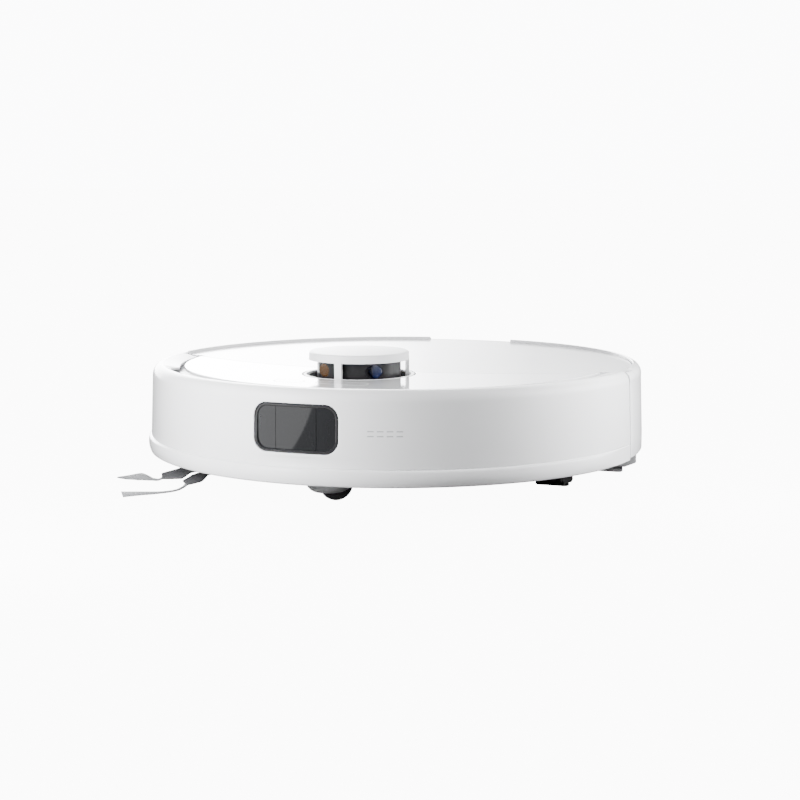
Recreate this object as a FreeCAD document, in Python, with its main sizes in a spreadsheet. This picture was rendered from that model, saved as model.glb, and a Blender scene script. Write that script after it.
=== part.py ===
import FreeCAD, Part
import math
import os
import re

# Robot vacuum. Front is -Y, up is +Z, the robot's left is +X.
# The origin is on the floor under the centre of the round body. Sizes are in millimetres.

os.makedirs("parts", exist_ok=True)
doc = FreeCAD.newDocument("robot_vacuum")
sheet = doc.addObject("Spreadsheet::Sheet", "Sizes")

SIZES = {
    "shell_radius": 173.0,
    "shell_bottom": 20.0,
    "shell_top": 80.0,
    "shell_inner_radius": 170.8,
    "lip_radius": 175.0,
    "lip_top": 27.5,
    "rim_radius": 165.8,
    "bumper_half_angle": 85.2,
    "bumper_gap_angle": 0.75,
    "flange_radius": 158.0,
    "flange_end_radius": 152.5,
    "floor_thickness": 3.0,
    "floor_radius": 164.0,
    "wall_outer_radius": 162.5,
    "wall_inner_radius": 160.0,
    "frame_bottom": 70.0,
    "frame_thickness": 3.5,
    "frame_radius": 162.5,
    "cover_top": 78.0,
    "cover_thickness": 2.0,
    "cover_gap": 2.5,
    "cover_radius": 149.5,
    "lid_radius": 165.3,
    "seam_radius": 300.0,
    "seam_centre": 248.0,
    "seam_gap": 0.4,
    "turret_y": -71.0,
    "cap_radius": 33.7,
    "cap_bottom": 88.0,
    "cap_top": 95.0,
    "cap_disc_radius": 32.0,
    "cap_rim_z": 93.4,
    "turret_hole_radius": 38.2,
    "turret_ring_radius": 37.2,
    "turret_well_radius": 34.8,
    "post_radius": 33.6,
    "rotor_radius": 28.0,
    "rotor_bottom": 71.0,
    "rotor_top": 87.3,
    "window_x": -2.0,
    "window_width": 58.0,
    "window_bottom": 39.5,
    "window_height": 31.0,
    "window_corner": 9.0,
    "button_y": -124.0,
    "button_width": 12.0,
    "button_gap": 0.3,
    "power_x": 10.0,
    "power_length": 35.0,
    "home_x": -27.0,
    "home_length": 20.0,
    "roller_y": 5.0,
    "roller_z": 24.0,
    "roller_radius": 20.0,
    "roller_core_radius": 12.0,
    "roller_half_length": 78.0,
    "roller_space_radius": 22.5,
    "fin_count": 6.0,
    "shaft_gap": 0.06,
    "wheel_x": 120.6,
    "wheel_y": -15.0,
    "wheel_radius": 33.0,
    "wheel_width": 20.0,
    "hub_radius": 26.0,
    "axle_radius": 3.0,
    "lug_count": 20.0,
    "lug_height": 2.2,
    "arm_pivot_y": 38.0,
    "arm_pivot_z": 46.0,
    "caster_x": -4.0,
    "caster_y": -114.0,
    "caster_angle": -65.0,
    "caster_radius": 19.5,
    "caster_wheel_radius": 11.0,
    "caster_wheel_width": 12.0,
    "caster_trail": 4.5,
    "brush_x": -88.0,
    "brush_y": -90.0,
    "brush_hub_radius": 14.0,
    "brush_arm_width": 11.0,
    "bin_left": -96.0,
    "bin_front": 44.0,
    "bin_length": 162.5,
    "bin_width": 68.5,
    "bin_bottom": 23.0,
    "bin_height": 43.0,
    "bin_wall": 2.0,
    "tank_width": 25.0,
    "battery_x": 32.0,
    "battery_y": -116.0,
    "battery_side": 66.0,
    "fan_x": 100.0,
    "fan_y": 74.0,
    "fan_radius": 27.0,
    "mop_radius": 169.5,
    "mop_front": 36.5,
    "pad_bottom": 1.0,
    "pad_thickness": 5.0,
    "mop_plate_thickness": 13.0,
}

for row, (name, value) in enumerate(SIZES.items(), start=1):
    sheet.set("A%d" % row, name)
    sheet.set("B%d" % row, str(value))
    sheet.setAlias("B%d" % row, name)
doc.recompute()

NODES = []
X_AXIS = FreeCAD.Rotation(FreeCAD.Vector(0, 1, 0), 90)
Y_AXIS = FreeCAD.Rotation(FreeCAD.Vector(1, 0, 0), -90)
Z_AXIS = FreeCAD.Rotation()


def size(name):
    return float(sheet.get(name))


def sized(rule):
    return re.sub(r"[a-z][a-z_0-9]*", lambda word: "Sizes." + word.group(0), str(rule))


def bind(item, rules):
    for name, rule in rules.items():
        item.setExpression(name, sized(rule))
    return item


def at(item, place, turn=Z_AXIS):
    item.Placement = FreeCAD.Placement(FreeCAD.Vector(0, 0, 0), turn)
    bases = ["Placement.Base.x", "Placement.Base.y", "Placement.Base.z"]
    return bind(item, dict(zip(bases, place)))


def box(place, length, width, height, turn=Z_AXIS):
    item = doc.addObject("Part::Box", "Box")
    bind(item, {"Length": length, "Width": width, "Height": height})
    return at(item, place, turn)


def rod(place, radius, height, turn=Z_AXIS):
    item = doc.addObject("Part::Cylinder", "Rod")
    bind(item, {"Radius": radius, "Height": height})
    return at(item, place, turn)


def cone(place, radius_low, radius_high, height):
    item = doc.addObject("Part::Cone", "Cone")
    bind(item, {"Radius1": radius_low, "Radius2": radius_high, "Height": height})
    return at(item, place)


def fuse(items):
    item = doc.addObject("Part::MultiFuse", "Fuse")
    item.Shapes = items
    return item


def common(items):
    item = doc.addObject("Part::MultiCommon", "Common")
    item.Shapes = items
    return item


def cut(base, tools):
    item = doc.addObject("Part::Cut", "Cut")
    item.Base = base
    item.Tool = tools[0] if len(tools) == 1 else fuse(tools)
    return item


def group(items):
    item = doc.addObject("Part::Compound", "Group")
    item.Links = items
    return item


def mirrored(source):
    item = doc.addObject("Part::Mirroring", "Mirror")
    item.Source = source
    item.Normal = FreeCAD.Vector(1, 0, 0)
    return item


def ring(place, outer, inner, height, turn=Z_AXIS):
    return cut(rod(place, outer, height, turn), [rod(place, inner, height, turn)])


def sector(outer, height, start, span, low):
    item = rod((0, 0, low), outer, height, FreeCAD.Rotation(FreeCAD.Vector(0, 0, 1), start))
    bind(item, {"Angle": span})
    return item


def rounded_plate(place, length, width, height, corner):
    """A box with round upright corners: two crossing boxes and four corner rods."""
    x, y, z = place
    items = [
        box(("%s + %s" % (x, corner), y, z), "%s - 2 * %s" % (length, corner), width, height),
        box((x, "%s + %s" % (y, corner), z), length, "%s - 2 * %s" % (width, corner), height),
    ]
    for side_x in (corner, "%s - %s" % (length, corner)):
        for side_y in (corner, "%s - %s" % (width, corner)):
            spot = ("%s + %s" % (x, side_x), "%s + %s" % (y, side_y), z)
            items.append(rod(spot, corner, height))
    return fuse(items)


def window_slab(front, depth, shrink):
    """The rounded window outline pushed from front to back, smaller all round by shrink."""
    length = "(window_width - 2 * %s)" % shrink
    tall = "(window_height - 2 * %s)" % shrink
    corner = "(window_corner - %s)" % shrink
    left = "window_x - %s / 2" % length
    low = "window_bottom + %s" % shrink
    items = [
        box((left + " + " + corner, front, low), length + " - 2 * " + corner, depth, tall),
        box((left, front, low + " + " + corner), length, depth, tall + " - 2 * " + corner),
    ]
    for side_x in (corner, length + " - " + corner):
        for side_z in (corner, tall + " - " + corner):
            spot = (left + " + " + side_x, front, low + " + " + side_z)
            items.append(rod(spot, corner, depth, Y_AXIS))
    return fuse(items)


def pill(x, y, z, length, width, height):
    """A flat bar with round ends, lying along X and centred on x and y."""
    half = "(%s - %s) / 2" % (length, width)
    middle = box(("%s - %s" % (x, half), "%s - %s / 2" % (y, width), z), "2 * " + half, width, height)
    left_end = rod(("%s - %s" % (x, half), y, z), "%s / 2" % width, height)
    right_end = rod(("%s + %s" % (x, half), y, z), "%s / 2" % width, height)
    return fuse([middle, left_end, right_end])


def profile(points, name):
    """A flat face in the XZ plane. A point with a third value bends the edge through it."""
    edges = []
    corners = [point for point in points if len(point) == 2]
    start = FreeCAD.Vector(corners[0][0], 0, corners[0][1])
    here = start
    bend = None
    for point in points[1:] + [points[0]]:
        spot = FreeCAD.Vector(point[0], 0, point[1])
        if len(point) == 3:
            bend = spot
            continue
        if bend is None:
            edges.append(Part.makeLine(here, spot))
        else:
            edges.append(Part.Arc(here, bend, spot).toShape())
        here = spot
        bend = None
    item = doc.addObject("Part::Feature", name)
    item.Shape = Part.Face(Part.Wire(edges))
    return item


def turned_profile(source, start, span, y=0):
    item = doc.addObject("Part::Revolution", "Turned")
    item.Source = source
    item.Axis = FreeCAD.Vector(0, 0, 1)
    item.Base = FreeCAD.Vector(0, 0, 0)
    item.Solid = True
    item.Placement = FreeCAD.Placement(
        FreeCAD.Vector(0, y, 0), FreeCAD.Rotation(FreeCAD.Vector(0, 0, 1), start)
    )
    bind(item, {"Angle": span})
    return item


def node(label, item):
    item.Label = label
    NODES.append((label, item))
    return item


def build_bumper():
    """The front bumper: a wall that rolls inward at the top and flares at the bottom."""
    shell = size("shell_radius")
    inner = size("shell_inner_radius")
    lip = size("lip_radius")
    low = size("shell_bottom")
    lip_top = size("lip_top")
    top = size("shell_top")
    edge = size("flange_end_radius")
    points = [
        (inner, low),
        (lip - 1.4, low),
        (lip, low + 1.6),
        (lip, lip_top),
        (lip - 1.0, lip_top + 3.0),
        (shell + 0.1, lip_top + 4.5),
        (shell - 1.3, top - 8.0),
        (shell - 3.1, top - 2.3, "bend"),
        (shell - 7.6, top),
        (shell - 8.6, top),
        (edge, top - 2.6),
        (edge, top - 4.1),
        (shell - 9.0, top - 2.0),
        (shell - 6.6, top - 2.5),
        (shell - 3.5, top - 7.5),
        (inner + 0.4, lip_top + 4.5),
    ]
    half = size("bumper_half_angle")
    wall = turned_profile(profile(points, "BumperProfile"), -90 - half, "2 * bumper_half_angle")
    trim = sector("flange_radius", 10, -148, 116, "shell_top - 8")
    opening = window_slab("0 - shell_radius - 5", 15, 0)
    node("bumper_shell", cut(wall, [trim, opening]))


def build_window():
    """The front sensor window: a black frame, three panes and what looks out through them."""
    frame = window_slab("0 - shell_radius + 2", 6, 0.1)
    hole = window_slab("0 - shell_radius + 1", 13, 2)
    node("window_bezel", cut(frame, [hole]))
    panes = []
    slab_front = "0 - shell_radius + 2.6"
    for left, length in ((-27.0, 13.1), (-13.6, 27.5), (14.2, 12.8)):
        blank = window_slab(slab_front, 1.5, 2.1)
        keep = box(("window_x + %s" % left, slab_front, "window_bottom"), length, 1.5, "window_height")
        panes.append(common([blank, keep]))
    node("window_panes", group(panes))
    camera = box(("window_x - 10", "0 - shell_radius + 4.6", "window_bottom + 6"), 20, 10, 19)
    lens = rod(("window_x", "0 - shell_radius + 4.1", "window_bottom + 15.5"), 5, 0.5, Y_AXIS)
    node("camera_module", fuse([camera, lens]))
    lasers = []
    for left in (-25.0, 15.0):
        spot = ("window_x + %s" % left, "0 - shell_radius + 4.1", "window_bottom + 9")
        lasers.append(box(spot, 9, 9, 13))
    node("line_laser_modules", group(lasers))


def build_rear_shell():
    """The fixed rear wall, its rolled rim with a finger notch, and the charging contacts."""
    shell = size("shell_radius")
    inner = size("shell_inner_radius")
    low = size("shell_bottom")
    top = size("shell_top")
    rim = size("rim_radius")
    floor = size("floor_radius")
    points = [
        (floor + 0.2, low),
        (shell - 1.2, low),
        (shell, low + 1.5),
        (shell, low + 12.0),
        (shell - 1.3, top - 8.0),
        (shell - 2.9, top - 2.2, "bend"),
        (shell - 6.4, top),
        (rim + 0.4, top),
        (rim, top - 0.5),
        (rim, top - 5.0),
        (rim + 2.8, top - 5.0),
        (inner - 0.6, top - 8.0),
        (inner, top - 17.0),
        (inner, low + 2.2),
        (floor + 0.2, low + 2.2),
    ]
    half = size("bumper_half_angle")
    gap = size("bumper_gap_angle")
    span = "360 - 2 * bumper_half_angle - 2 * bumper_gap_angle"
    wall = turned_profile(profile(points, "RearProfile"), -90 + half + gap, span)
    notch = box((-34, 150, "cover_top"), 68, 30, 4)
    pockets = []
    contacts = []
    for angle in (-9, 9):
        spin = FreeCAD.Rotation(FreeCAD.Vector(0, 0, 1), angle)
        pocket = group([box((-8, "shell_radius - 1.6", 27), 16, 3, 12)])
        pocket.Placement = FreeCAD.Placement(FreeCAD.Vector(0, 0, 0), spin)
        pockets.append(pocket)
        plate = group([box((-7.9, "shell_radius - 1.6", 27.1), 15.8, 1.3, 11.8)])
        plate.Placement = FreeCAD.Placement(FreeCAD.Vector(0, 0, 0), spin)
        contacts.append(plate)
    vent_slots = []
    for step in range(7):
        spin = FreeCAD.Rotation(FreeCAD.Vector(0, 0, 1), -58 - 2.2 * step)
        slot = group([box((-1.2, "shell_inner_radius - 2", 40), 2.4, 6, 18)])
        slot.Placement = FreeCAD.Placement(FreeCAD.Vector(0, 0, 0), spin)
        vent_slots.append(slot)
    tongues = []
    slopes = []
    for start, side_start, slope_start in ((-7.3, -3.9, -4.8), (182.8, 181.9, 179.1)):
        band = common([cone((0, 0, 23), 170.2, 168.8, 48), sector(175, 48, start, 4.5, 23)])
        tongue = cut(band, [cone((0, 0, 23), 168.4, 167, 48)])
        root = cut(
            sector("shell_inner_radius + 0.4", 48, side_start, 2.0, 23),
            [rod((0, 0, 20), 167.6, 60)],
        )
        tongues += [tongue, root]
        slope_end = sector(180, 10, slope_start, 5.7, 75)
        slopes.append(common([cone((0, 0, 77.4), "rim_radius", 172.2, 2.7), slope_end]))
    node("rear_shell", cut(fuse([wall] + tongues), [notch] + pockets + vent_slots + slopes))
    node("charging_contacts", group(contacts))
    grille = cut(
        sector("shell_inner_radius - 0.1", 26, 16, 19, 36),
        [rod((0, 0, 30), "shell_inner_radius - 1.6", 40)],
    )
    node("exhaust_grille", grille)


def build_chassis():
    """The floor pan with the inner wall, posts and the openings for everything below."""
    pan = rod((0, 0, "shell_bottom"), "floor_radius", "floor_thickness")
    wall_low = "shell_bottom + floor_thickness"
    wall_tall = "frame_bottom - shell_bottom - floor_thickness"
    wall = cut(
        sector("wall_outer_radius", wall_tall, -170, 160, wall_low),
        [rod((0, 0, "shell_bottom"), "wall_inner_radius", "shell_top")],
    )
    posts = []
    for x, y in ((148, 50), (-148, 50), (-90, 122), (100, 112), (0, 148)):
        posts.append(rod((x, y, wall_low), 4, wall_tall))
    openings = [
        box((-83, "roller_y - roller_space_radius", 15), 166, "2 * roller_space_radius", 10),
        box(("battery_x", "battery_y", 15), "battery_side", "battery_side", 10),
        rod(("caster_x", "caster_y", 15), "caster_radius + 0.3", 20),
        rod(("brush_x", "brush_y", 15), 8, 10),
        box((-42, -166, wall_low), 80, 20, wall_tall),
    ]
    for x in (109, -132.2):
        openings.append(box((x, -51, 15), 23.2, 73, 10))
    for x in (97, -111):
        openings.append(box((x, -30, 15), 14, 76, 10))
    node("base_chassis", cut(fuse([pan, wall] + posts), openings))
    cover = rounded_plate(
        ("battery_x + 0.3", "battery_y + 0.3", "shell_bottom"),
        "battery_side - 0.6", "battery_side - 0.6", 2, 4,
    )
    node("battery_cover", cover)
    battery = rounded_plate(
        ("battery_x + 1", "battery_y + 1", "shell_bottom + 2"),
        "battery_side - 2", "battery_side - 2", 36, 6,
    )
    node("battery_pack", battery)
    screws = []
    for x, y in ((-120, -100), (120, -100), (-20, -150), (20, -150), (-20, -60), (88, -36)):
        screws.append(rod((x, y, "shell_bottom - 1"), 3, 1))
    node("chassis_screws", group(screws))
    windows = []
    for x, y in ((-104, -122), (92, -122), (-156, -18), (144, -18)):
        windows.append(box((x, y, "shell_bottom - 0.8"), 12, 8, 0.8))
    node("cliff_sensor_windows", group(windows))


def build_top_frame():
    """The deck under the covers, open over the dust bin, the tank and the turret."""
    deck = rod((0, 0, "frame_bottom"), "frame_radius", "frame_thickness")
    bin_bay = box(("bin_left - 1", "bin_front - 1", 60), "bin_length + 2", "bin_width + 1.5", 20)
    tank_bay = box((-77.5, "bin_front + bin_width", 60), 145, "tank_width + 2.5", 20)
    turret_hole = rod((0, "turret_y", 60), "turret_well_radius + 0.3", 20)
    deck_top = "frame_bottom + frame_thickness"
    ledge = cut(
        sector("cover_radius + 5.5", 3, -142, 104, deck_top),
        [rod((0, 0, 60), "cover_radius + 0.5", 30)],
    )
    node("top_frame", cut(fuse([deck, ledge]), [bin_bay, tank_bay, turret_hole]))


def build_covers():
    """The glossy front cover, the lift-off rear lid and the ring round the turret."""
    deck_top = "frame_bottom + frame_thickness"
    plate_low = "cover_top - cover_thickness"
    seam = rod((0, "seam_centre", 60), "seam_radius + seam_gap", 30)
    turret_hole = rod((0, "turret_y", 60), "turret_hole_radius", 30)
    plate = rod((0, 0, plate_low), "cover_radius", "cover_thickness")
    skirt = cut(
        rod((0, 0, deck_top), "cover_radius - 2.5", "cover_gap"),
        [rod((0, 0, 60), "cover_radius - 4.5", 30)],
    )
    hole_width = "(button_width + 2 * button_gap)"
    buttons = [
        pill("power_x", "button_y", 60, "(power_length + 2 * button_gap)", hole_width, 30),
        pill("home_x", "button_y", 60, "(home_length + 2 * button_gap)", hole_width, 30),
    ]
    node("front_top_cover", cut(fuse([plate, skirt]), [seam, turret_hole] + buttons))
    lid_plate = common([
        rod((0, 0, plate_low), "lid_radius", "cover_thickness"),
        rod((0, "seam_centre", 60), "seam_radius", 30),
    ])
    rib = cut(
        rod((0, 0, deck_top), "frame_radius - 0.5", "cover_gap"),
        [rod((0, 0, 60), "frame_radius - 2.5", 30), box((-200, -200, 60), 400, 205, 30)],
    )
    corners = [
        box((149, -20, 60), 30, 12.5, 30),
        box((-179, -20, 60), 30, 12.5, 30),
    ]
    node("rear_lid", cut(fuse([lid_plate, rib]), [turret_hole_copy()] + corners))
    magnets = []
    for x, y in ((-120, 85), (120, 85), (-50, 140), (50, 140)):
        magnets.append(rod((x, y, "cover_top - cover_thickness - 1.5"), 5, 1.5))
    node("lid_magnets", group(magnets))
    bezel = ring((0, "turret_y", deck_top), "turret_ring_radius", "turret_well_radius + 0.3", 4.6)
    node("turret_bezel_ring", bezel)


def turret_hole_copy():
    return rod((0, "turret_y", 60), "turret_hole_radius", 30)


def build_turret():
    """The laser turret: floating cap on posts, spinning head and the base that drives it."""
    radius = size("cap_radius")
    low = size("cap_bottom")
    rim = size("cap_rim_z")
    disc = size("cap_disc_radius")
    centre = size("turret_y")
    cap_points = [
        (0, rim - 1.4),
        (radius - 3, rim - 1.4),
        (radius - 3, low),
        (radius, low),
        (radius - 0.4, rim - 1.0),
        (radius - 0.75, rim - 0.3, "bend"),
        (disc + 0.3, rim),
        (disc + 0.1, rim),
        (disc + 0.1, rim - 0.8),
        (0, rim - 0.8),
    ]
    cap = turned_profile(profile(cap_points, "CapProfile"), 0, 360, centre)
    posts = []
    for angle in (-2.4, 117.6, 237.6):
        post = group([box((-2.4, "0 - post_radius", 71.8), 4.8, 2.1, 17)])
        post.Placement = FreeCAD.Placement(
            FreeCAD.Vector(0, centre, 0),
            FreeCAD.Rotation(FreeCAD.Vector(0, 0, 1), angle),
        )
        posts.append(post)
    foot = ring((0, "turret_y", 71.8), "post_radius", "post_radius - 2.2", 1.5)
    node("turret_cover", fuse([cap, foot] + posts))
    disc_points = [
        (0, rim - 0.8),
        (disc, rim - 0.8),
        (disc, rim),
        (disc / 2, rim + 0.75 * (size("cap_top") - rim), "bend"),
        (1.5, size("cap_top")),
        (0, size("cap_top")),
    ]
    node("turret_cap_disc", turned_profile(profile(disc_points, "DiscProfile"), 0, 360, centre))
    head = rod((0, "turret_y", "rotor_bottom"), "rotor_radius", "rotor_top - rotor_bottom")
    eyes = [
        rod((-15.5, "turret_y - rotor_radius - 2", 82), 4.6, 13, Y_AXIS),
        rod((18.6, "turret_y - rotor_radius - 2", 82), 4.6, 14.5, Y_AXIS),
    ]
    node("lidar_rotor", cut(head, eyes))
    node("lidar_emitter_lens", rod((-15.5, "turret_y - rotor_radius + 7.5", 82), 4.5, 3.5, Y_AXIS))
    node("lidar_receiver_lens", rod((18.6, "turret_y - rotor_radius + 9.5", 82), 4.5, 3, Y_AXIS))
    flange = rod((0, "turret_y", "frame_bottom - 3"), 40, 3)
    collar_low = (0, "turret_y", "frame_bottom - 1")
    collar = ring(collar_low, "turret_well_radius", "turret_well_radius - 0.8", 8.2)
    hub = rod((0, "turret_y", "frame_bottom"), 10, "rotor_bottom - frame_bottom")
    motor = rod((0, "turret_y", 52), 18, 15)
    node("lidar_base", fuse([flange, collar, hub, motor]))


def build_buttons():
    """Two sprung buttons in the front cover and the small board under them."""
    for label, x, length in (
        ("power_button", "power_x", "power_length"),
        ("home_button", "home_x", "home_length"),
    ):
        face = pill(x, "button_y", "cover_top - 2.8", length, "button_width", 2.8)
        node(label, face)
    node("button_board", box((-42, "button_y - 7", "frame_bottom + frame_thickness"), 74, 14, 1))


def build_electronics():
    """The main board over the roller space, with its larger parts."""
    board = box((-78, -22, 56), 156, 60, 1.6)
    chips = [
        box((-60, -15, 57.6), 16, 16, 1.4),
        box((-20, -10, 57.6), 20, 20, 2),
        box((30, 5, 57.6), 24, 12, 6),
        box((-70, 22, 57.6), 30, 9, 7),
    ]
    legs = [rod((x, y, 52), 2.5, 4) for x, y in ((-70, -18), (70, -18), (-70, 30), (70, 30))]
    node("main_circuit_board", fuse([board] + chips + legs))


def build_roller():
    """The main roller under its arch, the guard round the mouth and its gearbox."""
    low = "shell_bottom + floor_thickness"
    block = box((-82, "roller_y - 29", low), 164, 58, 29)
    space = rod((-79, "roller_y", "roller_z"), "roller_space_radius", 158, X_AXIS)
    mouth = box((-79, "roller_y - roller_space_radius", 20), 158, "2 * roller_space_radius", 4)
    bores = rod((-90, "roller_y", "roller_z"), "4 + shaft_gap", 180, X_AXIS)
    outlet = box((-28, "roller_y", 31), 56, 40, 13)
    node("roller_housing", cut(block, [space, mouth, bores, outlet]))
    duct = cut(box((-31, 34, 28), 62, 9.9, 19), [box((-28, 30, 31), 56, 20, 13)])
    node("suction_duct", duct)
    rim = box((-90, "roller_y - 30", 17), 180, 60, 3)
    gap = box((-80, "roller_y - roller_space_radius", 10), 160, "2 * roller_space_radius", 20)
    node("roller_guard", cut(rim, [gap]))
    core_place = ("0 - roller_half_length", "roller_y", "roller_z")
    core = rod(core_place, "roller_core_radius", "2 * roller_half_length", X_AXIS)
    shaft = rod((-81.9, "roller_y", "roller_z"), 4, 163.8, X_AXIS)
    node("roller_core", fuse([core, shaft]))
    long = "2 * roller_half_length"
    sleeve = ring(core_place, "roller_core_radius + 2", "roller_core_radius", long, X_AXIS)
    fins = [sleeve]
    for step in range(int(size("fin_count"))):
        blade_place = ("0 - roller_half_length", -1, "roller_core_radius + 1")
        blade_tall = "roller_radius - roller_core_radius - 1"
        blade = group([box(blade_place, "2 * roller_half_length", 2, blade_tall)])
        blade.Placement = FreeCAD.Placement(
            FreeCAD.Vector(0, size("roller_y"), size("roller_z")),
            FreeCAD.Rotation(FreeCAD.Vector(1, 0, 0), 360 * step / size("fin_count")),
        )
        fins.append(blade)
    node("roller_fins", fuse(fins))
    gearbox = box((-95, -20, 24), 13, 46, 26)
    motor = rod((-88.5, -46, 37), 6, 26, Y_AXIS)
    bore = rod((-95, "roller_y", "roller_z"), 4.2, 13, X_AXIS)
    node("roller_gearmotor", cut(fuse([gearbox, motor]), [bore]))


def build_fan():
    """The suction fan behind the right wheel: housing and impeller."""
    body = rod(("fan_x", "fan_y", 23), "fan_radius", 43)
    room = rod(("fan_x", "fan_y", 46), "fan_radius - 2", 18)
    inlet = rod(("fan_x", "fan_y", 60), 11, 10)
    bore = rod(("fan_x", "fan_y", 30), "3 + shaft_gap", 20)
    node("fan_housing", cut(body, [room, inlet, bore]))
    blades = [rod(("fan_x", "fan_y", 48), 22, 2), cone(("fan_x", "fan_y", 50), 9, 5, 10),
              rod(("fan_x", "fan_y", 34), 3, 14)]
    for step in range(9):
        blade = group([box((7, -0.6, 50), 14, 1.2, 7)])
        blade.Placement = FreeCAD.Placement(
            FreeCAD.Vector(size("fan_x"), size("fan_y"), 0),
            FreeCAD.Rotation(FreeCAD.Vector(0, 0, 1), 40 * step),
        )
        blades.append(blade)
    node("fan_impeller", fuse(blades))


def build_dust_bin():
    """The lift-out bin with its lid and filter, and the water tank behind it."""
    tub = box(("bin_left", "bin_front", "bin_bottom"), "bin_length", "bin_width", "bin_height")
    room = box(("bin_left + bin_wall", "bin_front + bin_wall", "bin_bottom + bin_wall"),
               "bin_length - 2 * bin_wall", "bin_width - 2 * bin_wall", "bin_height")
    inlet = box((-28, "bin_front - 1", 31), 56, 4, 13)
    node("dustbin_tub", cut(tub, [room, inlet]))
    top = box(("bin_left", "bin_front", "bin_bottom + bin_height"), "bin_length", "bin_width", 3)
    window = box(("bin_left + 20", "bin_front + 14", 60), 60, 40, 20)
    grip = box(("bin_left + 100", "bin_front + 20", "bin_bottom + bin_height + 1.5"), 44, 28, 5)
    node("dustbin_lid", cut(top, [window, grip]))
    media = box(("bin_left + 20", "bin_front + 14", "bin_bottom + bin_height - 4"), 60, 40, 6)
    node("dustbin_filter", media)
    tank_body = box((-76, "bin_front + bin_width", "bin_bottom"), 142, "tank_width", 46)
    cap = rod((-50, "bin_front + bin_width + tank_width / 2", "bin_bottom + 46"), 9, 1.5)
    node("water_tank", fuse([tank_body, cap]))


def build_side_brush():
    """The corner brush: hub on the motor shaft, two soft arms and two tufts."""
    hub = rod(("brush_x", "brush_y", 12), "brush_hub_radius", 7)
    shaft = rod(("brush_x", "brush_y", 19), 2.5, 9)
    node("side_brush_hub", fuse([hub, shaft]))
    motor_bore = rod(("brush_x", "brush_y", 23), "2.5 + shaft_gap", 8)
    motor = cut(rod(("brush_x", "brush_y", 23), 15, 26), [motor_bore])
    node("side_brush_motor", motor)
    arms = [rod(("brush_x", "brush_y", 8.5), 9, 3.5)]
    for length, angle in ((31, 199), (23, 243)):
        bar = group([box((0, -4, 8.5), length, 8, 3.5)])
        bar.Placement = FreeCAD.Placement(
            FreeCAD.Vector(size("brush_x"), size("brush_y"), 0),
            FreeCAD.Rotation(FreeCAD.Vector(0, 0, 1), angle),
        )
        paddle = group([box((-4, "0 - brush_arm_width / 2", -1.2), 20, "brush_arm_width", 2.4)])
        spin = FreeCAD.Rotation(FreeCAD.Vector(0, 0, 1), angle)
        dip = FreeCAD.Rotation(FreeCAD.Vector(0, 1, 0), 9)
        lean = FreeCAD.Rotation(FreeCAD.Vector(1, 0, 0), -32)
        root = spin.multVec(FreeCAD.Vector(length, 0, 0))
        paddle.Placement = FreeCAD.Placement(
            FreeCAD.Vector(size("brush_x") + root.x, size("brush_y") + root.y, 8.2),
            spin.multiply(dip).multiply(lean),
        )
        arms.append(bar)
        arms.append(paddle)
    node("side_brush_arms", fuse(arms))
    tufts = []
    for x, y, length, angle, drop in ((-46.5, -17.7, 31, 182.0, 6), (-17.0, -38.6, 37, 226.5, 8)):
        tuft = group([box((0, -5, -0.6), length, 10, 1.2)])
        spin = FreeCAD.Rotation(FreeCAD.Vector(0, 0, 1), angle)
        dip = FreeCAD.Rotation(FreeCAD.Vector(0, 1, 0), drop)
        tuft.Placement = FreeCAD.Placement(
            FreeCAD.Vector(size("brush_x") + x, size("brush_y") + y, 7.0), spin.multiply(dip)
        )
        tufts.append(tuft)
    node("side_brush_bristles", group(tufts))


def caster_place(item):
    item.Placement = FreeCAD.Placement(
        FreeCAD.Vector(size("caster_x"), size("caster_y"), 0),
        FreeCAD.Rotation(FreeCAD.Vector(0, 0, 1), size("caster_angle")),
    )
    return item


def build_caster():
    """The front caster: fixed cup, swivelling domed fork, pin and small wheel."""
    cup = fuse([
        rod(("caster_x", "caster_y", 16), "caster_radius", 12),
        cone(("caster_x", "caster_y", 13.5), "caster_radius - 1.2", "caster_radius", 2.5),
    ])
    room = rod(("caster_x", "caster_y", 10), 17.3, 14.6)
    bore = rod(("caster_x", "caster_y", 20), "3 + shaft_gap", 10)
    node("caster_housing", cut(cup, [room, bore]))
    dome_points = [
        (0, 24.3),
        (0, 4.8),
        (9.0, 5.2),
        (14.9, 8.6, "bend"),
        (16.9, 13.0),
        (16.9, 24.3),
    ]
    dome = turned_profile(profile(dome_points, "DomeProfile"), 0, 360)
    stem = rod((0, 0, 24), 3, 3.8)
    slot = box((-6.5, -18, 2), 13, 36, 20.6)
    pin_place = (-9.5, "caster_trail", "caster_wheel_radius")
    fork = cut(fuse([dome, stem]), [slot, rod(pin_place, 1.5, 19, X_AXIS)])
    node("caster_fork", caster_place(group([fork])))
    node("caster_axle", caster_place(group([rod(pin_place, 1.5, 19, X_AXIS)])))
    wheel = rod(("0 - caster_wheel_width / 2", "caster_trail", "caster_wheel_radius"),
                "caster_wheel_radius", "caster_wheel_width", X_AXIS)
    wheel_bore = rod((-14, "caster_trail", "caster_wheel_radius"), "1.5 + shaft_gap", 28, X_AXIS)
    node("caster_wheel", caster_place(group([cut(wheel, [wheel_bore])])))


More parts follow.
